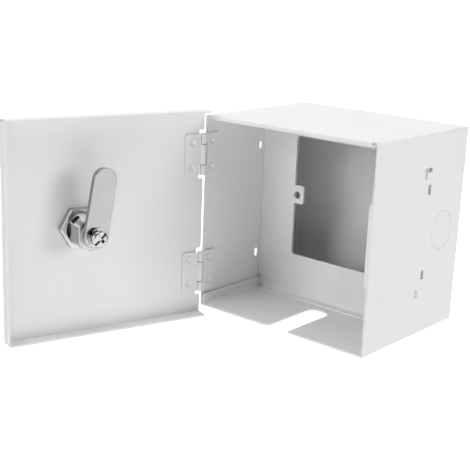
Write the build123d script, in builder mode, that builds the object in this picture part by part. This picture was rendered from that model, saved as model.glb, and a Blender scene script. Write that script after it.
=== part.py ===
from build123d import *
import os
from math import sin, cos, radians, sqrt, asin

os.makedirs("parts", exist_ok=True)

# ---------------------------------------------------------------- dimensions
# box
W = 117.0            # outside width
D = 92.0             # outside depth, front edge to rear face
H = 114.3            # outside height
T = 1.2              # sheet thickness
R_BEND = 1.8         # outside radius of the rear vertical bends
R_TOP = 1.5          # outside radius of the bends along the top
YF = -D              # plane of the front edges; the rear face is Y = 0
ZB = -H / 2          # underside of the floor
XI = W / 2 - T       # inner face of a side wall

# floor
FL_T = 1.2           # upturned side flange thickness
FL_TOP = 7.3         # flange top above the underside
FL_LEN = 52.0        # flange length from the front
FL_GAP = 0.4         # slit between flange and side wall
FL_START = {-1: 0.0, 1: 2.6}
SLOT_X0, SLOT_X1 = -7.2, 7.4
SLOT_DEPTH = 42.3
SLOT_R = 5.75

# top lip
LIP_BOTTOM = 112.1   # above the underside
LIP_X1 = 56.4
SEAM_Y = 88.9        # seam beside the rear panel, from the front edge

# side wall slots, (centre from front, width, low z, high z)
REAR_SLOTS = [(53.7, 2.8, 80.5, 86.2), (53.7, 2.8, 32.2, 37.5)]
FRONT_SLOTS = {1: [(49.0, 2.8, 89.8, 95.7), (49.0, 2.8, 22.3, 27.0)],
               -1: [(49.0, 2.8, 89.4, 93.9), (49.0, 2.8, 21.2, 26.2)]}
ARM_Y0, ARM_Y1, ARM_Z0, ARM_Z1 = 49.0, 54.9, 93.1, 95.7

# knockout in the right wall
KO_Y, KO_Z, KO_R = 70.7, 57.8, 11.1

# rear holes
RH_DX, RH_DZ, RH_R = 90.0, 96.0, 2.6

# device plate
DP_Y = 52.2          # front face, from the front edge
DP_HALF = XI - 0.02
OP_X, OP_Z0, OP_Z1, OP_R = 32.2, 27.5, 100.5, 2.2
EAR_X, EAR_Z0, EAR_Z1 = 25.5, 59.4, 70.5
EAR_HOLE_DX, EAR_HOLE_Z, EAR_HOLE_R = 60.3, 64.6, 2.3
FOOT_Y = 47.0

# strike plate
ST_T, ST_Z0, ST_Z1, ST_DEPTH = 2.0, 37.3, 83.5, 15.5
ST_LIP = 5.0         # reach of the return lip from the wall

# door
OPEN_DEG = 107.25
AX, AY = -56.8, YF - 3.18         # hinge axis
DR_S0, DR_S1 = -0.45, 119.4        # hinge edge and free edge from the axis
DR_Z0, DR_Z1 = -4.0, 117.8        # above the underside of the box
DR_IN, DR_OUT, DR_TIP = -0.5, -1.7, 6.6
NOTCH_S = 2.6

# hinges
HG_H = 24.0
NOTCH_END = 2.2
HG_MID = 11.4
HG_UP, HG_LO = 91.9, 22.0         # centre heights
KN_R, PIN_R, KN_BORE = 1.75, 0.75, 0.80
LEAF = 12.0          # door leaf
LEAF_START = 2.4     # door leaf beside the outer knuckles
LEAF_BOX = 12.6      # box leaf
LEAF_T = 1.0
GAP = 0.45
KNUCKLE_GAP = 2.5    # start of the box leaf behind the middle knuckle
RV_S_DOOR, RV_S_BOX, RV_DZ = 7.55, 6.6, 7.35
RV_Z = {HG_UP: 91.35, HG_LO: 22.15}
RV_R, RV_HEAD_R, RV_HEAD_H = 1.5, 2.2, 0.4
RV_DISH_R0, RV_DISH_R1, RV_DISH_D = 1.95, 0.9, 0.75   # dished head: rim, floor and depth

# lock
LK_S, LK_Z = 76.0, 57.0           # axis from the hinge axis and above the underside
LK_R, LK_FLAT, LK_END = 9.0, 7.7, 17.5
LK_HEAD_R, LK_HEAD_T = 11.5, 3.0
BORE_R, PLUG_R = 6.5, 6.45
NUT_AF, NUT_FRONT = 21.6, 4.0
SW_R, SW_T0, SW_T1 = 7.6, 18.4, 19.9
CAM_T0, CAM_T1 = 20.0, 22.9
CAM_R0, CAM_R1, CAM_L, CAM_TILT = 6.8, 6.3, 36.7, 9.3
CAM_TIP_R = 5.9
SQ = 6.0
LW_R, LW_T1 = 5.0, 24.6
SC_HEAD_R, SC_T1, SC_R = 4.4, 28.0, 1.95

ca, sa = cos(radians(OPEN_DEG)), sin(radians(OPEN_DEG))
# plane of the door: x along the panel from the hinge axis, y towards the inside, z up
DOOR = Plane(origin=(AX, AY, ZB), x_dir=(ca, -sa, 0), z_dir=(0, 0, 1))
# plane of the lock: z along the lock axis towards the cam, y up, x towards the hinges
LOCK = Plane(origin=(AX + LK_S * ca, AY - LK_S * sa, ZB + LK_Z),
             x_dir=(-ca, sa, 0), z_dir=(sa, ca, 0))
# plane of the hinge axis on the box side: x to the right, y to the rear, z up
HINGE = Plane(origin=(AX, AY, ZB), x_dir=(1, 0, 0), z_dir=(0, 0, 1))
# side plane: x to the rear from the front edge, y up from the underside
SIDE = Plane(origin=(0, YF, ZB), x_dir=(0, 1, 0), z_dir=(1, 0, 0))
# front plane: x to the right, y up from the underside, z to the front
FRONT = Plane(origin=(0, YF, ZB), x_dir=(1, 0, 0), z_dir=(0, -1, 0))


# ---------------------------------------------------------------- housing
with BuildPart() as housing:
    with BuildSketch(Plane.XY.offset(ZB)) as plan:
        with Locations((0, -D / 2)):
            Rectangle(W, D)
        fillet(plan.vertices().group_by(Axis.Y)[-1], R_BEND)
    extrude(amount=H)
    with BuildSketch(FRONT) as face:
        with Locations((0, H / 2)):
            Rectangle(W, H)
        fillet(face.vertices().group_by(Axis.Y)[-1], R_TOP)
        fillet(face.vertices().group_by(Axis.Y)[0], 1.0)
    extrude(amount=-D, mode=Mode.INTERSECT)
    # hollow, open to the front
    with BuildSketch(Plane.XY.offset(ZB + T)) as hollow:
        with Locations((0, YF / 2 - T / 2 - 5)):
            Rectangle(W - 2 * T, D - T + 10)
        fillet(hollow.vertices().group_by(Axis.Y)[-1], R_BEND - T)
    extrude(amount=H - 2 * T, mode=Mode.SUBTRACT)
    # upturned side flanges of the floor
    for sx in (-1, 1):
        f0 = FL_START[sx]
        with BuildSketch(SIDE.offset(sx * (XI - FL_GAP - FL_T / 2))):
            with BuildLine():
                Polyline((f0, T - 0.2), (FL_LEN, T - 0.2), (FL_LEN, FL_TOP - 1.6),
                         (FL_LEN - 1.6, FL_TOP), (f0, FL_TOP), (f0, T - 0.2))
            make_face()
        extrude(amount=FL_T / 2, both=True)
    # soft bend between floor and flange
    bend = housing.edges().filter_by(Axis.Y).filter_by_position(Axis.Z, ZB + T - 0.01, ZB + T + 0.01)
    bend = bend.filter_by(lambda e: abs(abs(e.center().X) - (XI - FL_GAP - FL_T)) < 0.15)
    fillet(bend, 2.4)
    # top front lip
    with BuildSketch(FRONT):
        with Locations(((-XI + LIP_X1) / 2, (LIP_BOTTOM + H) / 2)):
            Rectangle(XI + LIP_X1, H - LIP_BOTTOM)
    extrude(amount=-T)
    lip_in = housing.edges().filter_by(Axis.X).filter_by_position(Axis.Y, YF + T - 0.01, YF + T + 0.01)
    fillet(lip_in.filter_by_position(Axis.Z, ZB + H - T - 0.01, ZB + H - T + 0.01), 0.6)
    with BuildSketch(SIDE.offset(-W)):
        with Locations((0.4, H - 0.4)):
            Rectangle(1.2, 1.2)
        with Locations((1.0, H - 1.0)):
            Circle(1.0, mode=Mode.SUBTRACT)
    extrude(amount=2 * W, mode=Mode.SUBTRACT)
    # relief at the right end of the bend of the lip
    with BuildSketch(Plane.XY.offset(ZB + H - 1.75)):
        with Locations((55.65, YF + 1.45)):
            Rectangle(3.3, 2.1)
    extrude(amount=T + 1, mode=Mode.SUBTRACT)
    with BuildSketch(Plane.XY.offset(ZB + H - 0.95)):
        with Locations((55.65, YF + 0.7)):
            Rectangle(3.3, 1.6)
    extrude(amount=T + 1, mode=Mode.SUBTRACT)
    # seams beside the rear panel
    with BuildSketch(Plane.XY.offset(ZB + T)):
        for sx in (-1, 1):
            with Locations((sx * (XI + 0.4), YF + SEAM_Y)):
                Rectangle(0.9, 1.2)
    extrude(amount=H - 2 * T, mode=Mode.SUBTRACT)
    # cord slot in the floor
    with BuildSketch(Plane.XY.offset(ZB - 1)) as cord:
        with Locations(((SLOT_X0 + SLOT_X1) / 2, YF + SLOT_DEPTH / 2 - 1)):
            Rectangle(SLOT_X1 - SLOT_X0, SLOT_DEPTH + 2)
        fillet(cord.vertices().group_by(Axis.Y)[-1], SLOT_R)
    extrude(amount=T + 2, mode=Mode.SUBTRACT)
    mouth = housing.edges().filter_by(Axis.Z).filter_by_position(Axis.Y, YF - 0.01, YF + 0.01)
    mouth = mouth.filter_by_position(Axis.Z, ZB - 0.01, ZB + T + 0.01)
    fillet(mouth.filter_by_position(Axis.X, SLOT_X0 - 0.05, SLOT_X0 + 0.05), 3.0)
    fillet(housing.edges().filter_by(Axis.Z).filter_by_position(Axis.Y, YF - 0.01, YF + 0.01)
           .filter_by_position(Axis.X, SLOT_X1 - 0.05, SLOT_X1 + 0.05), 0.8)
    # slots in both side walls
    for sx in (-1, 1):
        with BuildSketch(SIDE.offset(sx * (XI + T / 2))):
            for yc, wd, z0, z1 in REAR_SLOTS + FRONT_SLOTS[sx]:
                with Locations((yc, (z0 + z1) / 2)):
                    RectangleRounded(wd, z1 - z0, 0.45)
        extrude(amount=T, both=True, mode=Mode.SUBTRACT)
    # rearward arm of the upper front slot, right wall only
    with BuildSketch(SIDE.offset(XI - 1)):
        with Locations(((ARM_Y0 + ARM_Y1) / 2, (ARM_Z0 + ARM_Z1) / 2)):
            RectangleRounded(ARM_Y1 - ARM_Y0, ARM_Z1 - ARM_Z0, 0.45)
    extrude(amount=4, mode=Mode.SUBTRACT)
    # knockout hole
    with BuildSketch(SIDE.offset(XI - 1)):
        with Locations((KO_Y, KO_Z)):
            Circle(KO_R)
    extrude(amount=4, mode=Mode.SUBTRACT)
    # rear mounting holes
    with BuildSketch(Plane.XZ.offset(-1)):
        with GridLocations(RH_DX, RH_DZ, 2, 2):
            Circle(RH_R)
    extrude(amount=4, mode=Mode.SUBTRACT)
    # holes for the hinge rivets in the left wall
    with BuildSketch(SIDE.offset(-W / 2 - 1)):
        for zc in (HG_UP, HG_LO):
            for dz in (-RV_DZ, RV_DZ):
                with Locations((AY - YF + RV_S_BOX, RV_Z[zc] + dz)):
                    Circle(RV_R + 0.02)
    extrude(amount=4, mode=Mode.SUBTRACT)
    # bend reliefs at the rear top corners
    with BuildSketch(Plane.XY.offset(ZB + H - 2.0)):
        for sx in (-1, 1):
            with Locations((sx * (W / 2 - 0.35), -0.35)):
                Circle(0.9)
    extrude(amount=3.0, mode=Mode.SUBTRACT)
housing.part.label = "housing"

# ---------------------------------------------------------------- knockout slug
with BuildPart() as knockout_slug:
    with BuildSketch(SIDE.offset(XI)):
        with Locations((KO_Y, KO_Z)):
            Circle(KO_R - 0.2)
            with PolarLocations(KO_R - 0.4, 2, start_angle=60, angular_range=360):
                Rectangle(0.76, 1.2)
    extrude(amount=T)
knockout_slug.part.label = "knockout_slug"

# ---------------------------------------------------------------- device plate
with BuildPart() as device_plate:
    with BuildSketch(SIDE.offset(-DP_HALF)) as prof:
        with BuildLine():
            Polyline((FOOT_Y, T + 0.02), (DP_Y + T, T + 0.02), (DP_Y + T, H - T - 0.3),
                     (DP_Y, H - T - 0.3), (DP_Y, 2 * T + 0.02), (FOOT_Y, 2 * T + 0.02), (FOOT_Y, T + 0.02))
        make_face()
        fillet(prof.vertices().filter_by(lambda v: abs(v.X - DP_Y) < 0.01 and abs(v.Y - 2 * T - 0.02) < 0.01), 2.0)
        fillet(prof.vertices().filter_by(lambda v: abs(v.X - DP_Y - T) < 0.01 and abs(v.Y - T - 0.02) < 0.01), 3.2)
    extrude(amount=2 * DP_HALF)
    # lower corners cut back round the floor flanges
    with BuildSketch(FRONT.offset(-FOOT_Y + 1)):
        for sx in (-1, 1):
            with Locations((sx * (XI - FL_GAP - FL_T - 0.2 + 5), 4.5)):
                Rectangle(10, 9.0)
            with Locations((sx * (XI - FL_GAP - FL_T - 2.7 + 5), 1.9)):
                Rectangle(10, 3.8)
    extrude(amount=-(DP_Y - FOOT_Y + 1.0), mode=Mode.SUBTRACT)
    # small relief notches behind the ends of the flanges
    with BuildSketch(FRONT.offset(-DP_Y + 1)):
        for sx in (-1, 1):
            with Locations((sx * (XI - 1.7 + 5), 8.1)):
                Rectangle(10, 2.4)
    extrude(amount=-(T + 2), mode=Mode.SUBTRACT)
    # device opening with its two ears
    with BuildSketch(FRONT.offset(-DP_Y + 1)) as opening:
        with Locations((0, (OP_Z0 + OP_Z1) / 2)):
            RectangleRounded(2 * OP_X, OP_Z1 - OP_Z0, OP_R)
        for sx in (-1, 1):
            with Locations((sx * (EAR_X + 6), (EAR_Z0 + EAR_Z1) / 2)):
                RectangleRounded(12, EAR_Z1 - EAR_Z0, 1.5, mode=Mode.SUBTRACT)
    extrude(amount=-(T + 2), mode=Mode.SUBTRACT)
    # device screw holes
    with BuildSketch(FRONT.offset(-DP_Y + 1)):
        for sx in (-1, 1):
            with Locations((sx * EAR_HOLE_DX / 2, EAR_HOLE_Z)):
                Circle(EAR_HOLE_R)
    extrude(amount=-(T + 2), mode=Mode.SUBTRACT)
device_plate.part.label = "device_plate"

# ---------------------------------------------------------------- strike plate
with BuildPart() as strike_plate:
    with BuildSketch(FRONT) as st:
        with BuildLine():
            Polyline((XI - 0.02, ST_Z0), (XI - 0.02, ST_Z1), (XI - ST_T, ST_Z1 - 2.0),
                     (XI - ST_T, ST_Z0 + 2.0), (XI - 0.02, ST_Z0))
        make_face()
    extrude(amount=-ST_DEPTH)
    fillet(strike_plate.edges().filter_by(Axis.Z).group_by(Axis.X)[0].sort_by(Axis.Y)[0], 0.4)
    # return lip behind which the cam turns
    with BuildSketch(FRONT.offset(-(ST_DEPTH - ST_T))) as lip:
        with Locations((XI - ST_LIP / 2 - 0.5, (ST_Z0 + ST_Z1) / 2)):
            Rectangle(ST_LIP - 1.0, ST_Z1 - ST_Z0 - 8.0)
        fillet(lip.vertices().group_by(Axis.X)[0], 1.5)
    extrude(amount=-ST_T)
strike_plate.part.label = "strike_plate"

# ---------------------------------------------------------------- door cover
with BuildPart() as door_cover:
    with BuildSketch(DOOR.offset(DR_Z0)) as dsk:
        with Locations(((DR_S0 + DR_S1) / 2, (DR_OUT + DR_TIP) / 2)):
            Rectangle(DR_S1 - DR_S0, DR_TIP - DR_OUT)
        fillet(dsk.vertices().filter_by(lambda v: abs(v.X - DR_S1) < 0.01 and abs(v.Y - DR_OUT) < 0.01), 1.5)
    extrude(amount=DR_Z1 - DR_Z0)
    # bends along the top and bottom of the panel
    ends = door_cover.edges().filter_by(lambda e: abs(DOOR.to_local_coords(e.center()).Y - DR_OUT) < 0.02
                                        and e.length > 50 and abs(e.tangent_at(0.5).Z) < 0.01)
    fillet(ends, 1.5)
    # hollow side
    with BuildSketch(DOOR.offset(DR_Z0 + T)) as dh:
        with Locations(((DR_S0 - 5 + DR_S1 - T) / 2, (DR_IN + DR_TIP + 5) / 2)):
            Rectangle(DR_S1 - T - DR_S0 + 5, DR_TIP + 5 - DR_IN)
        fillet(dh.vertices().filter_by(lambda v: abs(v.X - DR_S1 + T) < 0.01 and abs(v.Y - DR_IN) < 0.01), 0.4)
    extrude(amount=DR_Z1 - DR_Z0 - 2 * T, mode=Mode.SUBTRACT)
    # open flange corners at the free side
    with BuildSketch(DOOR.offset(DR_Z0 - 1)):
        with Locations((DR_S1 - 0.45, (DR_IN + 0.3 + DR_TIP + 1) / 2)):
            Rectangle(1.6, DR_TIP + 1 - DR_IN - 0.3)
    extrude(amount=1 + T + 0.05, mode=Mode.SUBTRACT)
    with BuildSketch(DOOR.offset(DR_Z1 + 1)):
        with Locations((DR_S1 - 0.45, (DR_IN + 0.3 + DR_TIP + 1) / 2)):
            Rectangle(1.6, DR_TIP + 1 - DR_IN - 0.3)
    extrude(amount=-(1 + T + 0.05), mode=Mode.SUBTRACT)
    # notches round the hinges
    for zc in (HG_UP, HG_LO):
        with BuildSketch(DOOR.offset(zc - HG_H / 2 - NOTCH_END)):
            with Locations((NOTCH_S / 2 - 1, (DR_IN + DR_OUT) / 2)):
                Rectangle(NOTCH_S + 2, T + 1)
        extrude(amount=HG_H + 2 * NOTCH_END, mode=Mode.SUBTRACT)
    # hole for the lock, with two flats
    with BuildSketch(LOCK.offset(DR_OUT - 1)):
        Circle(LK_R + 0.1)
        with Locations((LK_FLAT + 0.1 + 5, 0), (-LK_FLAT - 0.1 - 5, 0)):
            Rectangle(10, 30, mode=Mode.SUBTRACT)
    extrude(amount=T + 2, mode=Mode.SUBTRACT)
    # rivet holes
    with BuildSketch(Plane(origin=(AX, AY, ZB), x_dir=(-ca, sa, 0), z_dir=(sa, ca, 0)).offset(DR_OUT - 1)):
        for zc in (HG_UP, HG_LO):
            for dz in (-RV_DZ, RV_DZ):
                with Locations((-RV_S_DOOR, RV_Z[zc] + dz)):
                    Circle(RV_R + 0.02)
    extrude(amount=T + 2, mode=Mode.SUBTRACT)
door_cover.part.label = "door_cover"

# ---------------------------------------------------------------- hinges
def box_leaf(zc):
    z0, z1 = zc - HG_H / 2, zc + HG_H / 2
    m0, m1 = zc - HG_MID / 2 - GAP, zc + HG_MID / 2 + GAP
    with BuildPart() as leaf:
        with BuildSketch(HINGE.offset(z0)):
            Circle(KN_R)
            with Locations((0, LEAF_BOX / 2)):
                Rectangle(LEAF_T, LEAF_BOX)
        extrude(amount=HG_H)
        # room for the middle knuckle of the other leaf
        with BuildSketch(HINGE.offset(m0)):
            with Locations((0, (KNUCKLE_GAP - 3) / 2)):
                Rectangle(6, KNUCKLE_GAP + 3)
        extrude(amount=m1 - m0, mode=Mode.SUBTRACT)
        with BuildSketch(HINGE.offset(z0)):
            Circle(KN_BORE)
        extrude(amount=HG_H, mode=Mode.SUBTRACT)
        far = leaf.edges().filter_by(Axis.X).group_by(Axis.Y)[-1]
        fillet(far, 1.3)
        with BuildSketch(SIDE.offset(AX - 2)):
            for dz in (-RV_DZ, RV_DZ):
                with Locations((AY - YF + RV_S_BOX, RV_Z[zc] + dz)):
                    Circle(RV_R + 0.02)
        extrude(amount=4, mode=Mode.SUBTRACT)
    return leaf


def door_leaf(zc):
    z0, z1 = zc - HG_H / 2, zc + HG_H / 2
    m0, m1 = zc - HG_MID / 2, zc + HG_MID / 2
    with BuildPart() as leaf:
        with BuildSketch(DOOR.offset(z0)):
            with Locations(((LEAF + LEAF_START) / 2, 0)):
                Rectangle(LEAF - LEAF_START, LEAF_T)
        extrude(amount=HG_H)
        with BuildSketch(DOOR.offset(m0)):
            Circle(KN_R)
            with Locations((1.2, 0)):
                Rectangle(2.4, LEAF_T)
        extrude(amount=m1 - m0)
        with BuildSketch(DOOR.offset(z0)):
            Circle(KN_BORE)
        extrude(amount=HG_H, mode=Mode.SUBTRACT)
        far = leaf.edges().filter_by(lambda e: DOOR.to_local_coords(e.center()).X > LEAF - 0.01
                                     and abs(e.tangent_at(0.5).Z) < 0.01)
        fillet(far, 1.3)
        with BuildSketch(Plane(origin=(AX, AY, ZB), x_dir=(-ca, sa, 0), z_dir=(sa, ca, 0)).offset(-2)):
            for dz in (-RV_DZ, RV_DZ):
                with Locations((-RV_S_DOOR, RV_Z[zc] + dz)):
                    Circle(RV_R + 0.02)
        extrude(amount=4, mode=Mode.SUBTRACT)
    return leaf


def hinge_pin(zc):
    with BuildPart() as pin:
        with BuildSketch(HINGE.offset(zc - HG_H / 2 - 0.35)):
            Circle(PIN_R)
        extrude(amount=HG_H + 0.7)
        fillet(pin.edges().filter_by(GeomType.CIRCLE), 0.25)
    return pin


hinge_upper_box_leaf = box_leaf(HG_UP)
hinge_upper_box_leaf.part.label = "hinge_upper_box_leaf"
hinge_lower_box_leaf = box_leaf(HG_LO)
hinge_lower_box_leaf.part.label = "hinge_lower_box_leaf"
hinge_upper_door_leaf = door_leaf(HG_UP)
hinge_upper_door_leaf.part.label = "hinge_upper_door_leaf"
hinge_lower_door_leaf = door_leaf(HG_LO)
hinge_lower_door_leaf.part.label = "hinge_lower_door_leaf"
hinge_upper_pin = hinge_pin(HG_UP)
hinge_upper_pin.part.label = "hinge_upper_pin"
hinge_lower_pin = hinge_pin(HG_LO)
hinge_lower_pin.part.label = "hinge_lower_pin"

# rivets: low dished head on the leaf, shank flush with the outer face of the sheet
with BuildPart() as hinge_rivets_box:
    for zc in (HG_UP, HG_LO):
        for dz in (-RV_DZ, RV_DZ):
            with BuildSketch(SIDE.offset(-W / 2)):
                with Locations((AY - YF + RV_S_BOX, RV_Z[zc] + dz)):
                    Circle(RV_R)
            extrude(amount=AX + LEAF_T / 2 + W / 2)
            with BuildSketch(SIDE.offset(AX + LEAF_T / 2)):
                with Locations((AY - YF + RV_S_BOX, RV_Z[zc] + dz)):
                    Circle(RV_HEAD_R)
            extrude(amount=RV_HEAD_H)
            with BuildSketch(SIDE.offset(AX + LEAF_T / 2 + RV_HEAD_H)):
                with Locations((AY - YF + RV_S_BOX, RV_Z[zc] + dz)):
                    Circle(RV_DISH_R0)
            with BuildSketch(SIDE.offset(AX + LEAF_T / 2 + RV_HEAD_H - RV_DISH_D)):
                with Locations((AY - YF + RV_S_BOX, RV_Z[zc] + dz)):
                    Circle(RV_DISH_R1)
            loft(mode=Mode.SUBTRACT)
hinge_rivets_box.part.label = "hinge_rivets_box"

DPL = Plane(origin=(AX, AY, ZB), x_dir=(-ca, sa, 0), z_dir=(sa, ca, 0))
with BuildPart() as hinge_rivets_door:
    for zc in (HG_UP, HG_LO):
        for dz in (-RV_DZ, RV_DZ):
            with BuildSketch(DPL.offset(DR_OUT)):
                with Locations((-RV_S_DOOR, RV_Z[zc] + dz)):
                    Circle(RV_R)
            extrude(amount=LEAF_T / 2 - DR_OUT)
            with BuildSketch(DPL.offset(LEAF_T / 2)):
                with Locations((-RV_S_DOOR, RV_Z[zc] + dz)):
                    Circle(RV_HEAD_R)
            extrude(amount=RV_HEAD_H)
            with BuildSketch(DPL.offset(LEAF_T / 2 + RV_HEAD_H)):
                with Locations((-RV_S_DOOR, RV_Z[zc] + dz)):
                    Circle(RV_DISH_R0)
            with BuildSketch(DPL.offset(LEAF_T / 2 + RV_HEAD_H - RV_DISH_D)):
                with Locations((-RV_S_DOOR, RV_Z[zc] + dz)):
                    Circle(RV_DISH_R1)
            loft(mode=Mode.SUBTRACT)
hinge_rivets_door.part.label = "hinge_rivets_door"

# ---------------------------------------------------------------- lock
with BuildPart() as lock_housing:
    with BuildSketch(LOCK.offset(DR_OUT - LK_HEAD_T)):
        Circle(LK_HEAD_R)
    extrude(amount=LK_HEAD_T)
    rim = lock_housing.edges().filter_by(lambda e: LOCK.to_local_coords(e.center()).Z < DR_OUT - LK_HEAD_T + 0.01)
    fillet(rim, 1.4)
    with BuildSketch(LOCK.offset(DR_OUT)):
        Circle(LK_R)
        with Locations((LK_FLAT + 5, 0), (-LK_FLAT - 5, 0)):
            Rectangle(10, 30, mode=Mode.SUBTRACT)
    extrude(amount=LK_END - DR_OUT)
    # bore for the plug, counterbored in the head
    with BuildSketch(LOCK.offset(DR_OUT - LK_HEAD_T - 1)):
        Circle(BORE_R)
    extrude(amount=30, mode=Mode.SUBTRACT)
    with BuildSketch(LOCK.offset(DR_OUT - LK_HEAD_T - 1)):
        Circle(8.05)
    extrude(amount=1 + 1.85, mode=Mode.SUBTRACT)
    # window for the retaining wafer
    with BuildSketch(LOCK.offset(5.6)):
        with Locations(Location((0, 0), 131)):
            with Locations((8.0, 0)):
                Rectangle(4, 4.8)
    extrude(amount=4.8, mode=Mode.SUBTRACT)
lock_housing.part.label = "lock_housing"

with BuildPart() as lock_nut:
    with BuildSketch(LOCK.offset(DR_IN)):
        RegularPolygon(NUT_AF / 2, 6, major_radius=False)
        Circle(LK_R + 0.05, mode=Mode.SUBTRACT)
    extrude(amount=NUT_FRONT - DR_IN)
    edge = lock_nut.edges().filter_by(lambda e: abs(LOCK.to_local_coords(e.center()).Z - NUT_FRONT) < 0.01
                                      and e.geom_type == GeomType.LINE)
    chamfer(edge, 0.5)
lock_nut.part.label = "lock_nut"

with BuildPart() as lock_plug:
    with BuildSketch(LOCK.offset(DR_OUT - LK_HEAD_T + 0.3)):
        Circle(8.0)
    extrude(amount=1.5)
    with BuildSketch(LOCK.offset(DR_OUT - LK_HEAD_T + 0.3)):
        Circle(PLUG_R)
    extrude(amount=SW_T0 - 0.1 - (DR_OUT - LK_HEAD_T + 0.3))
    with BuildSketch(LOCK.offset(SW_T0 - 0.2)):
        Rectangle(SQ, SQ)
        Circle(SQ * 0.64, mode=Mode.INTERSECT)
    extrude(amount=CAM_T1 - 0.1 - SW_T0 + 0.2)
    # keyway
    with BuildSketch(LOCK.offset(DR_OUT - LK_HEAD_T - 1)):
        Rectangle(2.0, 7.6)
    extrude(amount=17.5, mode=Mode.SUBTRACT)
    # wafer slots
    for k in range(5):
        with BuildSketch(LOCK.offset(-1.2 + 2.6 * k)):
            Rectangle(6.6, 14)
        extrude(amount=1.0, mode=Mode.SUBTRACT)
    # tapped hole for the cam screw
    with BuildSketch(LOCK.offset(CAM_T1)):
        Circle(SC_R + 0.05)
    extrude(amount=-9.5, mode=Mode.SUBTRACT)
lock_plug.part.label = "lock_plug"

with BuildPart() as plug_face_cap:
    with BuildSketch(LOCK.offset(DR_OUT - LK_HEAD_T - 0.1)):
        Circle(7.7)
        Rectangle(2.4, 8.2, mode=Mode.SUBTRACT)
    extrude(amount=0.38)
plug_face_cap.part.label = "plug_face_cap"

with BuildPart() as lock_wafers:
    for k in range(5):
        with BuildSketch(LOCK.offset(-1.1 + 2.6 * k)):
            Rectangle(6.4, 11.0)
            with Locations((0, 0.4 * ((k * 2) % 3 - 1))):
                Rectangle(2.8, 6.0, mode=Mode.SUBTRACT)
        extrude(amount=0.8)
lock_wafers.part.label = "lock_wafers"

CAMP = Plane(origin=LOCK.origin, x_dir=(LOCK.x_dir * cos(radians(CAM_TILT)) - LOCK.y_dir * sin(radians(CAM_TILT))),
             z_dir=LOCK.z_dir)
with BuildPart() as lock_stop_washer:
    with BuildSketch(CAMP.offset(SW_T0)):
        Circle(SW_R)
        Circle(4.35, mode=Mode.SUBTRACT)
    extrude(amount=SW_T1 - SW_T0)
lock_stop_washer.part.label = "lock_stop_washer"

with BuildPart() as lock_cam:
    b = asin((CAM_R0 - CAM_R1) / CAM_L)
    xt = CAM_R0 * cos(b) - (CAM_L - CAM_R0 * sin(b)) / cos(b) * sin(b)   # half width at the tip
    with BuildSketch(CAMP.offset(CAM_T0)) as cam_shape:
        with BuildLine():
            Polyline((-CAM_R0 * cos(b), CAM_R0 * sin(b)), (CAM_R0 * cos(b), CAM_R0 * sin(b)),
                     (xt, CAM_L), (-xt, CAM_L), (-CAM_R0 * cos(b), CAM_R0 * sin(b)))
        make_face()
        fillet(cam_shape.vertices().group_by(Axis.Y)[-1], CAM_TIP_R)
        Circle(CAM_R0)
        Circle(4.35, mode=Mode.SUBTRACT)
    extrude(amount=CAM_T1 - CAM_T0)
    fillet(lock_cam.faces().sort_by(lambda f: LOCK.to_local_coords(f.center()).Z)[-1].outer_wire().edges(), 0.35)
lock_cam.part.label = "lock_cam"

with BuildPart() as cam_lock_washer:
    with BuildSketch(LOCK.offset(CAM_T1)):
        Circle(LW_R)
        Circle(2.2, mode=Mode.SUBTRACT)
        with Locations(Location((0, 0), 152)):
            with Locations((3.7, 0)):
                Rectangle(4, 0.6, mode=Mode.SUBTRACT)
    extrude(amount=LW_T1 - CAM_T1)
cam_lock_washer.part.label = "cam_lock_washer"

with BuildPart() as cam_screw:
    with BuildSketch(LOCK.offset(LW_T1)):
        Circle(SC_HEAD_R)
    extrude(amount=SC_T1 - LW_T1)
    dome = cam_screw.edges().filter_by(lambda e: LOCK.to_local_coords(e.center()).Z > SC_T1 - 0.01)
    fillet(dome, 1.5)
    with BuildSketch(LOCK.offset(LW_T1)):
        Circle(SC_R)
    extrude(amount=-10.0)
    # combination recess: a full slot and a short cross arm
    with BuildSketch(LOCK.offset(SC_T1)):
        with Locations(Location((0, 0), 44)):
            Rectangle(2 * SC_HEAD_R + 1, 1.4)
            Rectangle(1.7, 5.2)
    extrude(amount=-1.9, mode=Mode.SUBTRACT)
cam_screw.part.label = "cam_screw"

# ---------------------------------------------------------------- export
export_step(housing.part, "parts/housing.step")
export_step(knockout_slug.part, "parts/knockout_slug.step")
export_step(device_plate.part, "parts/device_plate.step")
export_step(strike_plate.part, "parts/strike_plate.step")
export_step(door_cover.part, "parts/door_cover.step")
export_step(hinge_upper_box_leaf.part, "parts/hinge_upper_box_leaf.step")
export_step(hinge_upper_door_leaf.part, "parts/hinge_upper_door_leaf.step")
export_step(hinge_upper_pin.part, "parts/hinge_upper_pin.step")
export_step(hinge_lower_box_leaf.part, "parts/hinge_lower_box_leaf.step")
export_step(hinge_lower_door_leaf.part, "parts/hinge_lower_door_leaf.step")
export_step(hinge_lower_pin.part, "parts/hinge_lower_pin.step")
export_step(hinge_rivets_box.part, "parts/hinge_rivets_box.step")
export_step(hinge_rivets_door.part, "parts/hinge_rivets_door.step")
export_step(lock_housing.part, "parts/lock_housing.step")
export_step(lock_nut.part, "parts/lock_nut.step")
export_step(lock_plug.part, "parts/lock_plug.step")
export_step(plug_face_cap.part, "parts/plug_face_cap.step")
export_step(lock_wafers.part, "parts/lock_wafers.step")
export_step(lock_stop_washer.part, "parts/lock_stop_washer.step")
export_step(lock_cam.part, "parts/lock_cam.step")
export_step(cam_lock_washer.part, "parts/cam_lock_washer.step")
export_step(cam_screw.part, "parts/cam_screw.step")
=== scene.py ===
import math

import bmesh
import bpy
from mathutils import Matrix, Vector


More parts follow.
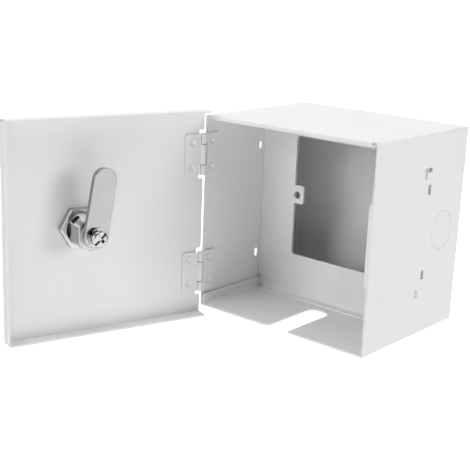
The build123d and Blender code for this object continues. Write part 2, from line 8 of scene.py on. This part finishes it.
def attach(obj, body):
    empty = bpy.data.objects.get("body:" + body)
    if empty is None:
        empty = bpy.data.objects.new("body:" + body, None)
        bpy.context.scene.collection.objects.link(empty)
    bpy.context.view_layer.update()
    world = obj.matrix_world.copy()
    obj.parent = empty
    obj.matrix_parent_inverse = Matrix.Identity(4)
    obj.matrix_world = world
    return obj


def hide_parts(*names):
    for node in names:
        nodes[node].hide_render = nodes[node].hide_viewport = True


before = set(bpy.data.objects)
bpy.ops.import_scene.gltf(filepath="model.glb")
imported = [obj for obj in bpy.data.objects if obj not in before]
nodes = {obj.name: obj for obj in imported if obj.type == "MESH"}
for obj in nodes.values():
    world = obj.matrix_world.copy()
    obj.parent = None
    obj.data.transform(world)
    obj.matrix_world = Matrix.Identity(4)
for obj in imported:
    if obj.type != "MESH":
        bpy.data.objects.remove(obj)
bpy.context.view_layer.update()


# ------------------------------------------------------------------ camera
def unit(v):
    return v.normalized()


YAW, PITCH, ROLL = math.radians(40.657), math.radians(15.245), math.radians(2.298)
FOCAL_PX, FRAME_PX = 1004.69, 470.0
EYE = Vector((0.326898, -0.511422, 0.141913))
look = Vector((-math.sin(YAW) * math.cos(PITCH), math.cos(YAW) * math.cos(PITCH), -math.sin(PITCH)))
right = unit(look.cross(Vector((0, 0, 1))))
up = right.cross(look)
cr, sr = math.cos(ROLL), math.sin(ROLL)
right2 = right * cr + up * sr
up2 = -right * sr + up * cr
cam_data = bpy.data.cameras.new("camera")
cam_data.sensor_fit = "HORIZONTAL"
cam_data.sensor_width = 36.0
cam_data.lens = FOCAL_PX / FRAME_PX * 36.0
cam_data.clip_start, cam_data.clip_end = 0.01, 300.0
cam = bpy.data.objects.new("camera", cam_data)
bpy.context.scene.collection.objects.link(cam)
m = Matrix.Identity(4)
for i in range(3):
    m[i][0], m[i][1], m[i][2], m[i][3] = right2[i], up2[i], -look[i], EYE[i]
cam.matrix_world = m
bpy.context.scene.camera = cam


# ------------------------------------------------------------------ materials
def new_material(name):
    mat = bpy.data.materials.new(name)
    mat.use_nodes = True
    nt = mat.node_tree
    nt.nodes.clear()
    out = nt.nodes.new("ShaderNodeOutputMaterial")
    bsdf = nt.nodes.new("ShaderNodeBsdfPrincipled")
    nt.links.new(bsdf.outputs["BSDF"], out.inputs["Surface"])
    return mat, nt, bsdf


def coords(nt, scale=(1, 1, 1)):
    tc = nt.nodes.new("ShaderNodeTexCoord")
    mp = nt.nodes.new("ShaderNodeMapping")
    mp.inputs["Scale"].default_value = scale
    nt.links.new(tc.outputs["Object"], mp.inputs["Vector"])
    return mp.outputs["Vector"]


def noise(nt, vec, scale, detail=2.0, rough=0.5):
    n = nt.nodes.new("ShaderNodeTexNoise")
    n.inputs["Scale"].default_value = scale
    n.inputs["Detail"].default_value = detail
    n.inputs["Roughness"].default_value = rough
    nt.links.new(vec, n.inputs["Vector"])
    return n.outputs["Fac"]


def ramp(nt, fac, stops):
    r = nt.nodes.new("ShaderNodeValToRGB")
    cr_ = r.color_ramp
    while len(cr_.elements) > 1:
        cr_.elements.remove(cr_.elements[-1])
    cr_.elements[0].position = stops[0][0]
    cr_.elements[0].color = (*stops[0][1], 1)
    for p, c in stops[1:]:
        e = cr_.elements.new(p)
        e.color = (*c, 1)
    nt.links.new(fac, r.inputs["Fac"])
    return r.outputs["Color"]


def painted_crevice_shade(nt, colour, reach, floor_value, open_from=0.15, open_to=0.56):
    """Painted shade: darken a colour in narrow gaps, creases and between parts, within a short reach of other
    surfaces.
    """
    # ambient occlusion drives painted shade into the base colour
    ao = nt.nodes.new("ShaderNodeAmbientOcclusion")
    ao.samples = 12
    ao.inputs["Distance"].default_value = reach
    shade = ramp(nt, ao.outputs["AO"], [(open_from, (floor_value,) * 3), (open_to, (1.0,) * 3)])
    mul = nt.nodes.new("ShaderNodeMix")
    mul.data_type = "RGBA"
    mul.blend_type = "MULTIPLY"
    mul.inputs[0].default_value = 1.0
    nt.links.new(colour, mul.inputs[6])
    nt.links.new(shade, mul.inputs[7])
    return mul.outputs[2]


def powder_coat(name, grey=0.80, reach=0.0013, open_to=0.56):
    mat, nt, b = new_material(name)
    v = coords(nt)
    big = noise(nt, v, 14.0, 3.0)
    col = ramp(nt, big, [(0.30, (grey * 0.985,) * 3), (0.70, (grey * 1.01,) * 3)])
    # painted shade: the coat's colour darkens in gaps, creases and between parts
    nt.links.new(painted_crevice_shade(nt, col, reach, 0.40, 0.15, open_to), b.inputs["Base Color"])
    fine = noise(nt, v, 900.0, 3.0, 0.55)
    mid = noise(nt, v, 260.0, 2.0, 0.5)
    rr = ramp(nt, fine, [(0.25, (0.52,) * 3), (0.75, (0.66,) * 3)])
    nt.links.new(rr, b.inputs["Roughness"])
    b.inputs["Specular IOR Level"].default_value = 0.28
    mix = nt.nodes.new("ShaderNodeMath")
    mix.operation = "ADD"
    nt.links.new(fine, mix.inputs[0])
    nt.links.new(mid, mix.inputs[1])
    bump = nt.nodes.new("ShaderNodeBump")
    bump.inputs["Strength"].default_value = 0.10
    bump.inputs["Distance"].default_value = 0.00012
    nt.links.new(mix.outputs[0], bump.inputs["Height"])
    nt.links.new(bump.outputs["Normal"], b.inputs["Normal"])
    return mat


def plated(name, tint=(0.80, 0.80, 0.81), rough=(0.16, 0.30), stretch=(1, 1, 1), bump_s=0.05, scale=500.0, reach=0.0008, deep=0.5):
    mat, nt, b = new_material(name)
    v = coords(nt, stretch)
    f = noise(nt, v, scale, 4.0, 0.6)
    g = noise(nt, coords(nt), 70.0, 3.0, 0.5)
    col = ramp(nt, g, [(0.3, tuple(c * 0.92 for c in tint)), (0.7, tint)])
    # painted shade: the plating's colour darkens in gaps, creases and between parts
    nt.links.new(painted_crevice_shade(nt, col, reach, deep), b.inputs["Base Color"])
    rr = ramp(nt, f, [(0.3, (rough[0],) * 3), (0.7, (rough[1],) * 3)])
    nt.links.new(rr, b.inputs["Roughness"])
    b.inputs["Metallic"].default_value = 1.0
    bump = nt.nodes.new("ShaderNodeBump")
    bump.inputs["Strength"].default_value = bump_s
    bump.inputs["Distance"].default_value = 0.0001
    nt.links.new(f, bump.inputs["Height"])
    nt.links.new(bump.outputs["Normal"], b.inputs["Normal"])
    return mat


# the hinge coat has a longer reach and a higher open point, so its painted shade draws dark lines along leaf
# edges, knuckle gaps and rivets
coat = powder_coat("powder_coat_white", 0.80)
hinge_coat = powder_coat("powder_coat_hinges", 0.795, 0.0016, 0.74)
# for each metal, reach and deep set how far and how dark its painted crevice shade goes
nickel = plated("lock_plating_nickel", (0.42, 0.42, 0.43), (0.26, 0.38), reach=0.0012, deep=0.3)
nut_steel = plated("nut_plating", (0.50, 0.50, 0.51), (0.26, 0.40))
dark_steel = plated("dark_steel", (0.10, 0.10, 0.105), (0.40, 0.55))
zinc = plated("washer_zinc", (0.46, 0.46, 0.47), (0.30, 0.42), (1, 1, 0.12), 0.08, 1500.0)
cam_steel = plated("cam_polished", (0.32, 0.32, 0.325), (0.12, 0.20), (1, 1, 0.15), 0.02, 1200.0)
spring_steel = plated("spring_washer", (0.50, 0.50, 0.51), (0.20, 0.32), reach=0.0006, deep=0.5)
bright = plated("bright_steel", (0.42, 0.42, 0.43), (0.18, 0.28), reach=0.0013, deep=0.30)
brass = plated("wafer_brass", (0.76, 0.62, 0.34), (0.25, 0.4))

LOOK = {
    coat: ["housing", "knockout_slug", "device_plate", "strike_plate", "door_cover"],
    hinge_coat: ["hinge_upper_box_leaf", "hinge_upper_door_leaf", "hinge_upper_pin",
                 "hinge_lower_box_leaf", "hinge_lower_door_leaf", "hinge_lower_pin",
                 "hinge_rivets_box", "hinge_rivets_door"],
    nickel: ["lock_housing"],
    nut_steel: ["lock_nut"],
    dark_steel: ["lock_plug"],
    zinc: ["lock_stop_washer"],
    cam_steel: ["lock_cam"],
    spring_steel: ["cam_lock_washer"],
    bright: ["cam_screw", "plug_face_cap"],
    brass: ["lock_wafers"],
}
for mat, names in LOOK.items():
    for n in names:
        o = nodes[n]
        o.data.materials.clear()
        o.data.materials.append(mat)

# small rounded edges on the carried-over solids
BEVEL = {"housing": 0.00022, "device_plate": 0.0002, "strike_plate": 0.00018, "door_cover": 0.00022,
         "hinge_upper_box_leaf": 0.0001, "hinge_upper_door_leaf": 0.0001, "hinge_lower_box_leaf": 0.0001,
         "hinge_lower_door_leaf": 0.0001, "knockout_slug": 0.0001, "lock_nut": 0.0002, "lock_cam": 0.0001,
         "lock_stop_washer": 0.0001, "cam_screw": 0.00006}
for n, w in BEVEL.items():
    o = nodes[n]
    wd = o.modifiers.new("weld", "WELD")
    wd.merge_threshold = 0.000002
    bv = o.modifiers.new("edge", "BEVEL")
    bv.width = w
    bv.segments = 2
    bv.limit_method = "ANGLE"
    bv.angle_limit = math.radians(40)
    bv.harden_normals = False
    bv.use_clamp_overlap = True

# ------------------------------------------------------------------ lock details
MM = 0.001
LOCK_O = Vector((-0.0793372, -0.1677615, -0.00015))
OPEN = math.radians(107.25)
LOCK_X = Vector((-math.cos(OPEN), math.sin(OPEN), 0.0))
LOCK_Y = Vector((0.0, 0.0, 1.0))
LOCK_Z = Vector((math.sin(OPEN), math.cos(OPEN), 0.0))


def lock_point(x, y, t):
    """A point of the lock in millimetres, along the lock axis t, in the row frame."""
    return LOCK_O + (LOCK_X * x + LOCK_Y * y + LOCK_Z * t) * MM


def piece(name, verts, faces, mat, body, stands_for, smooth=True):
    me = bpy.data.meshes.new(name)
    me.from_pydata([tuple(v) for v in verts], [], faces)
    me.validate()
    for f in me.polygons:
        f.use_smooth = smooth
    me.materials.append(mat)
    ob = bpy.data.objects.new(name, me)
    bpy.context.scene.collection.objects.link(ob)
    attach(ob, body)
    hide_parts(stands_for)
    return ob


def outward(ob):
    """Turns the faces of a closed mesh outwards."""
    bm = bmesh.new()
    bm.from_mesh(ob.data)
    bmesh.ops.recalc_face_normals(bm, faces=bm.faces)
    bm.to_mesh(ob.data)
    bm.free()


# lock body with a fine thread, two flats and the window of the retaining wafer
PITCH, SEG = 1.0, 160
outer = [(-2.85, 6.5), (-2.85, 8.05), (-4.55, 8.05), (-4.7, 8.2), (-4.7, 10.1), (-4.62, 10.6), (-4.35, 11.05),
         (-3.9, 11.36), (-3.3, 11.5), (-2.0, 11.5), (-1.7, 11.3)]
rings = [("r", r, t) for t, r in outer]
rings.append(("b", 9.0, -1.7))
t = -1.5
while t < 16.95:
    rings.append(("th", 9.0, t))
    t += PITCH / 6
rings += [("b", 8.7, 17.1), ("b", 8.35, 17.5), ("r", 6.6, 17.5), ("r", 6.5, 17.4)]
verts, faces = [], []
for kind, r, t in rings:
    for k in range(SEG):
        a = 2 * math.pi * k / SEG
        rr = r
        if kind == "th":
            rr = 8.99 - 0.34 * (0.5 - 0.5 * math.cos(2 * math.pi * (t / PITCH - k / SEG)))
        if kind != "r":
            c = abs(math.cos(a))
            if c > 0.3:
                rr = min(rr, 7.7 / c)
        verts.append(lock_point(rr * math.cos(a), rr * math.sin(a), t))
n_r = len(rings)
for i in range(n_r):
    j = (i + 1) % n_r
    for k in range(SEG):
        m_ = (k + 1) % SEG
        faces.append((i * SEG + k, i * SEG + m_, j * SEG + m_, j * SEG + k))
lock_body = piece("lock_body_threaded", verts, faces, nickel, "door", "lock_housing")
outward(lock_body)
WA = math.radians(131.0)
cut = []
for u, v, t in [(5.6, -2.4, 5.6), (11.0, -2.4, 5.6), (11.0, 2.4, 5.6), (5.6, 2.4, 5.6),
                (5.6, -2.4, 10.4), (11.0, -2.4, 10.4), (11.0, 2.4, 10.4), (5.6, 2.4, 10.4)]:
    cut.append(tuple(lock_point(u * math.cos(WA) - v * math.sin(WA), u * math.sin(WA) + v * math.cos(WA), t)))
cm = bpy.data.meshes.new("window_cutter")
cm.from_pydata(cut, [], [(0, 3, 2, 1), (4, 5, 6, 7), (0, 1, 5, 4), (1, 2, 6, 5), (2, 3, 7, 6), (3, 0, 4, 7)])
cutter = bpy.data.objects.new("window_cutter", cm)
bpy.context.scene.collection.objects.link(cutter)
outward(cutter)
bo = lock_body.modifiers.new("window", "BOOLEAN")
bo.operation = "DIFFERENCE"
bo.solver = "EXACT"
bo.object = cutter
bpy.context.view_layer.update()
done = bpy.data.meshes.new_from_object(lock_body.evaluated_get(bpy.context.evaluated_depsgraph_get()))
lock_body.modifiers.clear()
lock_body.data = done
bpy.data.objects.remove(cutter)

# split lock washer: a single turn of square wire, its ends a little apart
WSEG, W_IN, W_OUT, W_TH = 96, 2.75, 4.95, 1.05
verts, faces = [], []
start, turn = math.radians(154), math.radians(338)
for k in range(WSEG + 1):
    f = k / WSEG
    a = start + turn * f
    t0 = 22.93 + 0.58 * f
    for r, t in ((W_IN, t0), (W_OUT - 0.12, t0), (W_OUT, t0 + 0.12), (W_OUT, t0 + W_TH - 0.12), (W_OUT - 0.12, t0 + W_TH), (W_IN, t0 + W_TH)):
        verts.append(lock_point(r * math.cos(a), r * math.sin(a), t))
for k in range(WSEG):
    for c in range(6):
        d = (c + 1) % 6
        faces.append((k * 6 + c, k * 6 + d, (k + 1) * 6 + d, (k + 1) * 6 + c))
faces += [(5, 4, 3, 2, 1, 0), tuple(WSEG * 6 + c for c in range(6))]
spring = piece("split_lock_washer", verts, faces, spring_steel, "plug", "cam_lock_washer", smooth=False)
outward(spring)

# ------------------------------------------------------------------ studio
FLOOR_Z = -0.30


def stage_mesh(name, verts, faces, mat):
    me = bpy.data.meshes.new(name)
    me.from_pydata(verts, [], faces)
    for p in me.polygons:
        p.use_smooth = True
    me.materials.append(mat)
    ob = bpy.data.objects.new(name, me)
    bpy.context.scene.collection.objects.link(ob)
    return ob


fl_mat, fl_nt, fl_b = new_material("pale_floor")
fv = coords(fl_nt)
fn = noise(fl_nt, fv, 6.0, 2.0)
fl_nt.links.new(ramp(fl_nt, fn, [(0.3, (0.93,) * 3), (0.7, (0.95,) * 3)]), fl_b.inputs["Base Color"])
fl_b.inputs["Roughness"].default_value = 0.9
fl_b.inputs["Emission Color"].default_value = (1, 1, 1, 1)
fl_b.inputs["Emission Strength"].default_value = 0.9
S = 120.0
floor = stage_mesh("floor", [(-S, -S, FLOOR_Z), (S, -S, FLOOR_Z), (S, S, FLOOR_Z), (-S, S, FLOOR_Z)], [(0, 1, 2, 3)], fl_mat)
# a low surround at the edge of the floor
H = 70.0
ring = [(-S, -S), (S, -S), (S, S), (-S, S)]
surround = stage_mesh("surround", [(x, y, FLOOR_Z) for x, y in ring] + [(x, y, H) for x, y in ring],
                      [(0, 1, 5, 4), (1, 2, 6, 5), (2, 3, 7, 6), (3, 0, 4, 7)], fl_mat)
for p in surround.data.polygons:
    p.use_smooth = False
# both are only a backdrop: the floor shows in the bright metal, but throws no soft light up at the box
for ob in (floor, surround):
    ob.visible_diffuse = False
    ob.visible_shadow = False
floor.visible_glossy = True
surround.visible_glossy = False

world = bpy.data.worlds.new("studio")
world.use_nodes = True
wn = world.node_tree
wn.nodes.clear()
wo = wn.nodes.new("ShaderNodeOutputWorld")
bg = wn.nodes.new("ShaderNodeBackground")
bg.inputs["Color"].default_value = (1, 1, 1, 1)
bg.inputs["Strength"].default_value = 0.21
wn.links.new(bg.outputs[0], wo.inputs[0])
bpy.context.scene.world = world


def area(name, az, el, energy, size=1.1, dist=1.5):
    """Soft area light; az 0 is the front, 90 the right side."""
    a, e = math.radians(az), math.radians(el)
    d = Vector((math.sin(a) * math.cos(e), -math.cos(a) * math.cos(e), math.sin(e)))
    lt = bpy.data.lights.new(name, "AREA")
    lt.shape = "RECTANGLE"
    lt.size, lt.size_y = size, size
    lt.energy = energy
    ob = bpy.data.objects.new(name, lt)
    ob.location = d * dist + Vector((0, -0.05, 0))
    ob.rotation_mode = "QUATERNION"
    ob.rotation_quaternion = (-d).to_track_quat("-Z", "Y")
    bpy.context.scene.collection.objects.link(ob)
    return ob


area("overhead", 0, 80, 9.1)
area("left_rear", -130, 15, 17.9, size=2.0)
area("left_top", -90, 40, 4.3, size=2.0, dist=1.6)
area("rear_right_top", 150, 40, 4.6)
area("low_right", 45, -40, 14.6, size=2.0)
area("low_right_side", 90, -30, 4.0, dist=1.45)
area("key_right", 100, 15, 5.5, size=0.45, dist=1.4)
area("front_soft", -10, 20, 5.1, size=0.6)
area("front_left_soft", -20, 10, 2.7, size=0.3, dist=1.4)

bpy.context.scene.view_settings.view_transform = "Standard"
bpy.context.scene.view_settings.look = "None"
